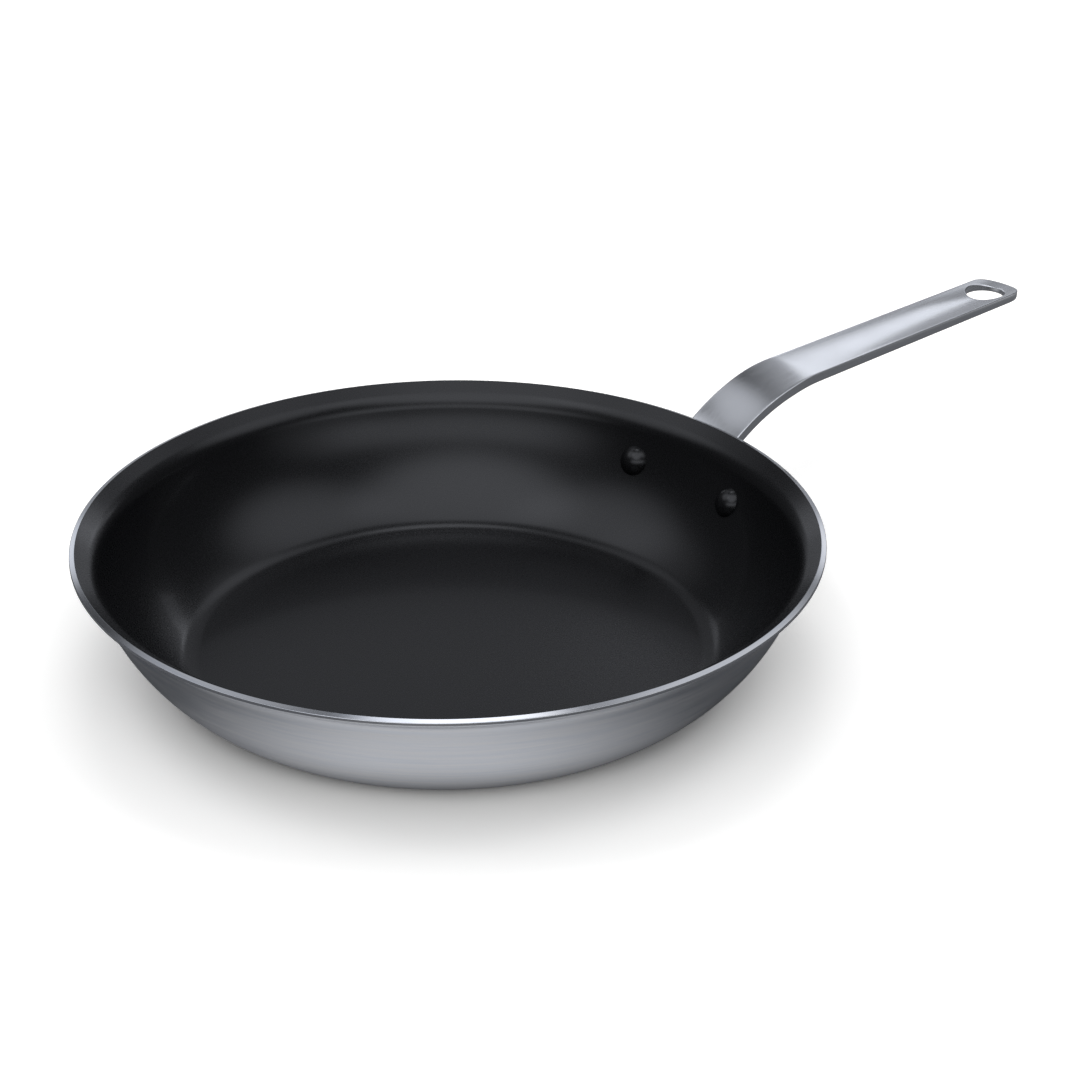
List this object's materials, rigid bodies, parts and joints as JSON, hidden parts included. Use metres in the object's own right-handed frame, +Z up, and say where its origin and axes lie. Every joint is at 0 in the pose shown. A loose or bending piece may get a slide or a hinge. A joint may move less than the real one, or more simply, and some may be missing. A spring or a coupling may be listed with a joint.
{
  "type": "omelette pan",
  "caption": "Shallow round pan with curved sides and a flared rim, black nonstick inside, and a riveted metal bar handle with a hanging hole.",
  "frame": {"origin": "centre of the flat underside that rests on the stove", "axes": "+Z up, +X out of the bowl along the handle"},
  "size_m": [0.5334, 0.32, 0.0719],
  "materials": {
    "aluminium_sheet": "satin, spun with fine rings, polished on the edge of the rim",
    "nonstick_black": "semi-gloss film with a very fine grain",
    "plated_steel": "satin plated",
    "rivet_aluminium": "plain"
  },
  "bodies": {
    "root": {"pan_body": "aluminium_sheet", "nonstick_coating": "nonstick_black", "handle": "plated_steel", "rivet_left": "rivet_aluminium", "rivet_right": "rivet_aluminium", "rivet_coat_left": "nonstick_black", "rivet_coat_right": "nonstick_black"}
  },
  "joints": []
}
